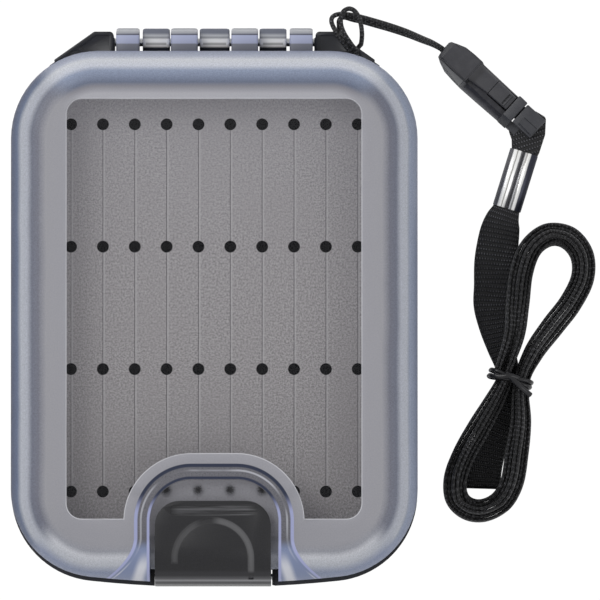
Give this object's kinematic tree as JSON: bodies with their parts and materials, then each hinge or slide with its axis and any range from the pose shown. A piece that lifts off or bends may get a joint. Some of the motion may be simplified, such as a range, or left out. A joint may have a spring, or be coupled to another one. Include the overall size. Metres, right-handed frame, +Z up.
{
  "type": "fly box",
  "caption": "Slim double-sided fishing fly box: two clear hinged lids with latches on a black centre frame, slit foam inside, and a detachable neck lanyard.",
  "frame": {"origin": "middle of the box's footprint on the table, under the back lid's outer face; the lanyard is left out", "axes": "+X to the right as seen from the front, +Y from the latches to the hinge, +Z up through the box from the back lid to the front lid"},
  "size_m": [0.1464, 0.1425, 0.044],
  "materials": {
    "black_abs": "satin",
    "clear_pc": "clear, part frosted",
    "grey_foam": "fine speckled foam",
    "adhesive": "matt",
    "seal_rubber": "matt",
    "pin_steel": "bright drawn",
    "latch_black": "satin",
    "thin_cord": "braided",
    "buckle_black": "satin",
    "strap_webbing": "woven",
    "crimp_chrome": "polished",
    "tie_black": "glossy"
  },
  "bodies": {
    "box": {"center_frame": "black_abs", "front_foam": "grey_foam", "back_foam": "grey_foam", "front_adhesive": "adhesive", "back_adhesive": "adhesive", "front_gasket": "seal_rubber", "back_gasket": "seal_rubber", "hinge_pin": "pin_steel", "front_latch_pin": "pin_steel", "back_latch_pin": "pin_steel", "lanyard_cord": "thin_cord", "buckle_socket": "buckle_black"},
    "front_cover": {"front_lid": "clear_pc"},
    "back_cover": {"back_lid": "clear_pc"},
    "front_catch": {"front_latch": "latch_black"},
    "back_catch": {"back_latch": "latch_black"},
    "neck_strap": {"buckle_plug": "buckle_black", "strap_tab": "strap_webbing", "crimp_sleeve": "crimp_chrome", "strap_lead": "strap_webbing", "strap_hank": "strap_webbing", "twist_tie": "tie_black"},
    "tongue": {"release_tongue": "buckle_black"}
  },
  "joints": [
    {"name": "front_lid_hinge", "type": "hinge", "parent": "box", "child": "front_cover", "pos_m": [0, 0.06675, 0.022], "axis": [-1, 0, 0], "range_deg": [0, 180]},
    {"name": "back_lid_hinge", "type": "hinge", "parent": "box", "child": "back_cover", "pos_m": [0, 0.06675, 0.022], "axis": [1, 0, 0], "range_deg": [0, 180]},
    {"name": "front_latch_pivot", "type": "hinge", "parent": "box", "child": "front_catch", "pos_m": [0, -0.06785, 0.0246], "axis": [1, 0, 0], "range_deg": [0, 85]},
    {"name": "back_latch_pivot", "type": "hinge", "parent": "box", "child": "back_catch", "pos_m": [0, -0.06785, 0.0194], "axis": [-1, 0, 0], "range_deg": [0, 85]},
    {"name": "buckle_release", "type": "slide", "parent": "box", "child": "neck_strap", "axis": [0.7373, -0.6756, 0], "range_m": [0, 0.012]},
    {"name": "tongue_press", "type": "hinge", "parent": "neck_strap", "child": "tongue", "pos_m": [0.07577, 0.04849, 0.0041], "axis": [-0.6756, -0.7373, 0], "range_deg": [0, 5], "stiffness_Nm_per_rad": 0.02}
  ]
}
